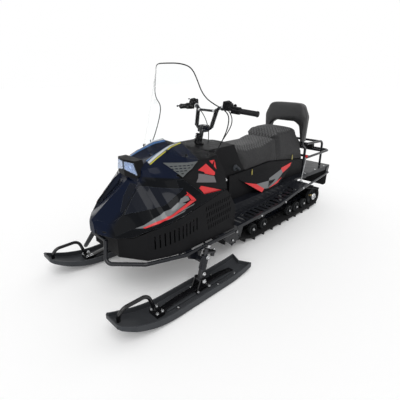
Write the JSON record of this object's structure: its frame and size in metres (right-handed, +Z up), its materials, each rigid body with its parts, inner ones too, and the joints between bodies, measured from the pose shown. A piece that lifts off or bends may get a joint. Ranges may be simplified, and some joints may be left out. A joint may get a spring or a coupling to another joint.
{
  "type": "utility snowmobile",
  "caption": "Two-seat utility snowmobile on one wide rubber track with two steered skis, a tall clear windshield, quilted seat, backrest and rear rack.",
  "frame": {"origin": "on the ground under the middle of the machine's bounding box", "axes": "+X forward, +Y to the driver's left, +Z up"},
  "size_m": [2.662, 1.018, 1.356],
  "materials": {
    "track_rubber": "ribbed rubber",
    "flap_rubber": "smooth rubber",
    "grip_rubber": "soft rubber",
    "black_paint": "satin black",
    "black_sheet": "textured black",
    "hood_gloss": "gloss",
    "matt_plastic": "matt moulded",
    "vent_grey": "satin",
    "lamp_glass": "clear",
    "screen_clear": "clear",
    "seat_vinyl": "quilted vinyl",
    "wheel_plastic": "moulded",
    "bare_steel": "zinc plated",
    "ski_plastic": "satin",
    "ski_steel": "gloss black",
    "engine_metal": "cast",
    "muffler_steel": "heat dulled"
  },
  "bodies": {
    "chassis": {"backrest_frame": "black_paint", "backrest_pad": "seat_vinyl", "belly_pan": "matt_plastic", "bogie_wheels": "wheel_plastic", "bumper_rail": "black_paint", "carrier_rollers": "wheel_plastic", "console": "matt_plastic", "drive_plate_left": "black_paint", "drive_plate_right": "black_paint", "drive_sprockets": "wheel_plastic", "driver_seat": "seat_vinyl", "engine": "engine_metal", "front_axle": "black_paint", "hood_hinge": "black_paint", "idler_hubs": "bare_steel", "muffler": "muffler_steel", "passenger_seat": "seat_vinyl", "rack_stay_left": "bare_steel", "rack_stay_right": "bare_steel", "rear_deck": "black_sheet", "rear_idlers": "wheel_plastic", "rear_rack": "black_paint", "running_board_left": "black_sheet", "running_board_right": "black_sheet", "seat_base": "matt_plastic", "shock_front": "bare_steel", "shock_rear": "bare_steel", "side_brace_left": "black_paint", "side_brace_right": "black_paint", "slide_rails": "black_paint", "snow_flap": "flap_rubber", "suspension_arms": "black_paint", "tail_lamp": "matt_plastic", "tank_cover": "matt_plastic", "tow_hitch": "black_paint", "track": "track_rubber", "tunnel": "black_sheet"},
    "hood": {"hood": "hood_gloss", "windshield": "screen_clear", "headlight_surround": "matt_plastic", "headlight_left": "lamp_glass", "headlight_right": "lamp_glass", "hood_vent_left": "vent_grey", "hood_vent_right": "vent_grey"},
    "handlebar": {"handlebar": "black_paint", "grip_left": "grip_rubber", "grip_right": "grip_rubber", "control_block_left": "matt_plastic", "control_block_right": "matt_plastic"},
    "spindle_left": {"spindle_left": "bare_steel"},
    "spindle_right": {"spindle_right": "bare_steel"},
    "tie_rod_left": {"tie_rod_left": "bare_steel"},
    "tie_rod_right": {"tie_rod_right": "bare_steel"},
    "ski_left": {"ski_left": "ski_plastic", "ski_saddle_left": "ski_steel", "ski_loop_left": "ski_steel"},
    "ski_right": {"ski_right": "ski_plastic", "ski_saddle_right": "ski_steel", "ski_loop_right": "ski_steel"}
  },
  "joints": [
    {"name": "hood_tilt", "type": "hinge", "parent": "chassis", "child": "hood", "pos_m": [1.15, 0, 0.462], "axis": [0, 1, 0], "range_deg": [0, 55]},
    {"name": "steering", "type": "hinge", "parent": "chassis", "child": "handlebar", "pos_m": [0.273, 0, 0.961], "axis": [-0.2756, 0, 0.9613], "range_deg": [-24, 24]},
    {"name": "kingpin_left", "type": "hinge", "parent": "chassis", "child": "spindle_left", "pos_m": [0.712, 0.418, 0.095], "axis": [-0.2756, 0, 0.9613], "range_deg": [-24, 24]},
    {"name": "tie_rod_joint_left", "type": "hinge", "parent": "spindle_left", "child": "tie_rod_left", "pos_m": [0.60155, 0.418, 0.23347], "axis": [-0.2756, 0, 0.9613], "range_deg": [-24, 24]},
    {"name": "ski_pitch_left", "type": "hinge", "parent": "spindle_left", "child": "ski_left", "pos_m": [0.712, 0.418, 0.095], "axis": [0, 1, 0], "range_deg": [-7, 4]},
    {"name": "kingpin_right", "type": "hinge", "parent": "chassis", "child": "spindle_right", "pos_m": [0.712, -0.418, 0.095], "axis": [-0.2756, 0, 0.9613], "range_deg": [-24, 24]},
    {"name": "tie_rod_joint_right", "type": "hinge", "parent": "spindle_right", "child": "tie_rod_right", "pos_m": [0.60155, -0.418, 0.23347], "axis": [-0.2756, 0, 0.9613], "range_deg": [-24, 24]},
    {"name": "ski_pitch_right", "type": "hinge", "parent": "spindle_right", "child": "ski_right", "pos_m": [0.712, -0.418, 0.095], "axis": [0, 1, 0], "range_deg": [-7, 4]}
  ],
  "couplings": [
    {"joint": "kingpin_left", "follows": "steering", "ratio": 1},
    {"joint": "tie_rod_joint_left", "follows": "steering", "ratio": -1},
    {"joint": "kingpin_right", "follows": "steering", "ratio": 1},
    {"joint": "tie_rod_joint_right", "follows": "steering", "ratio": -1}
  ]
}
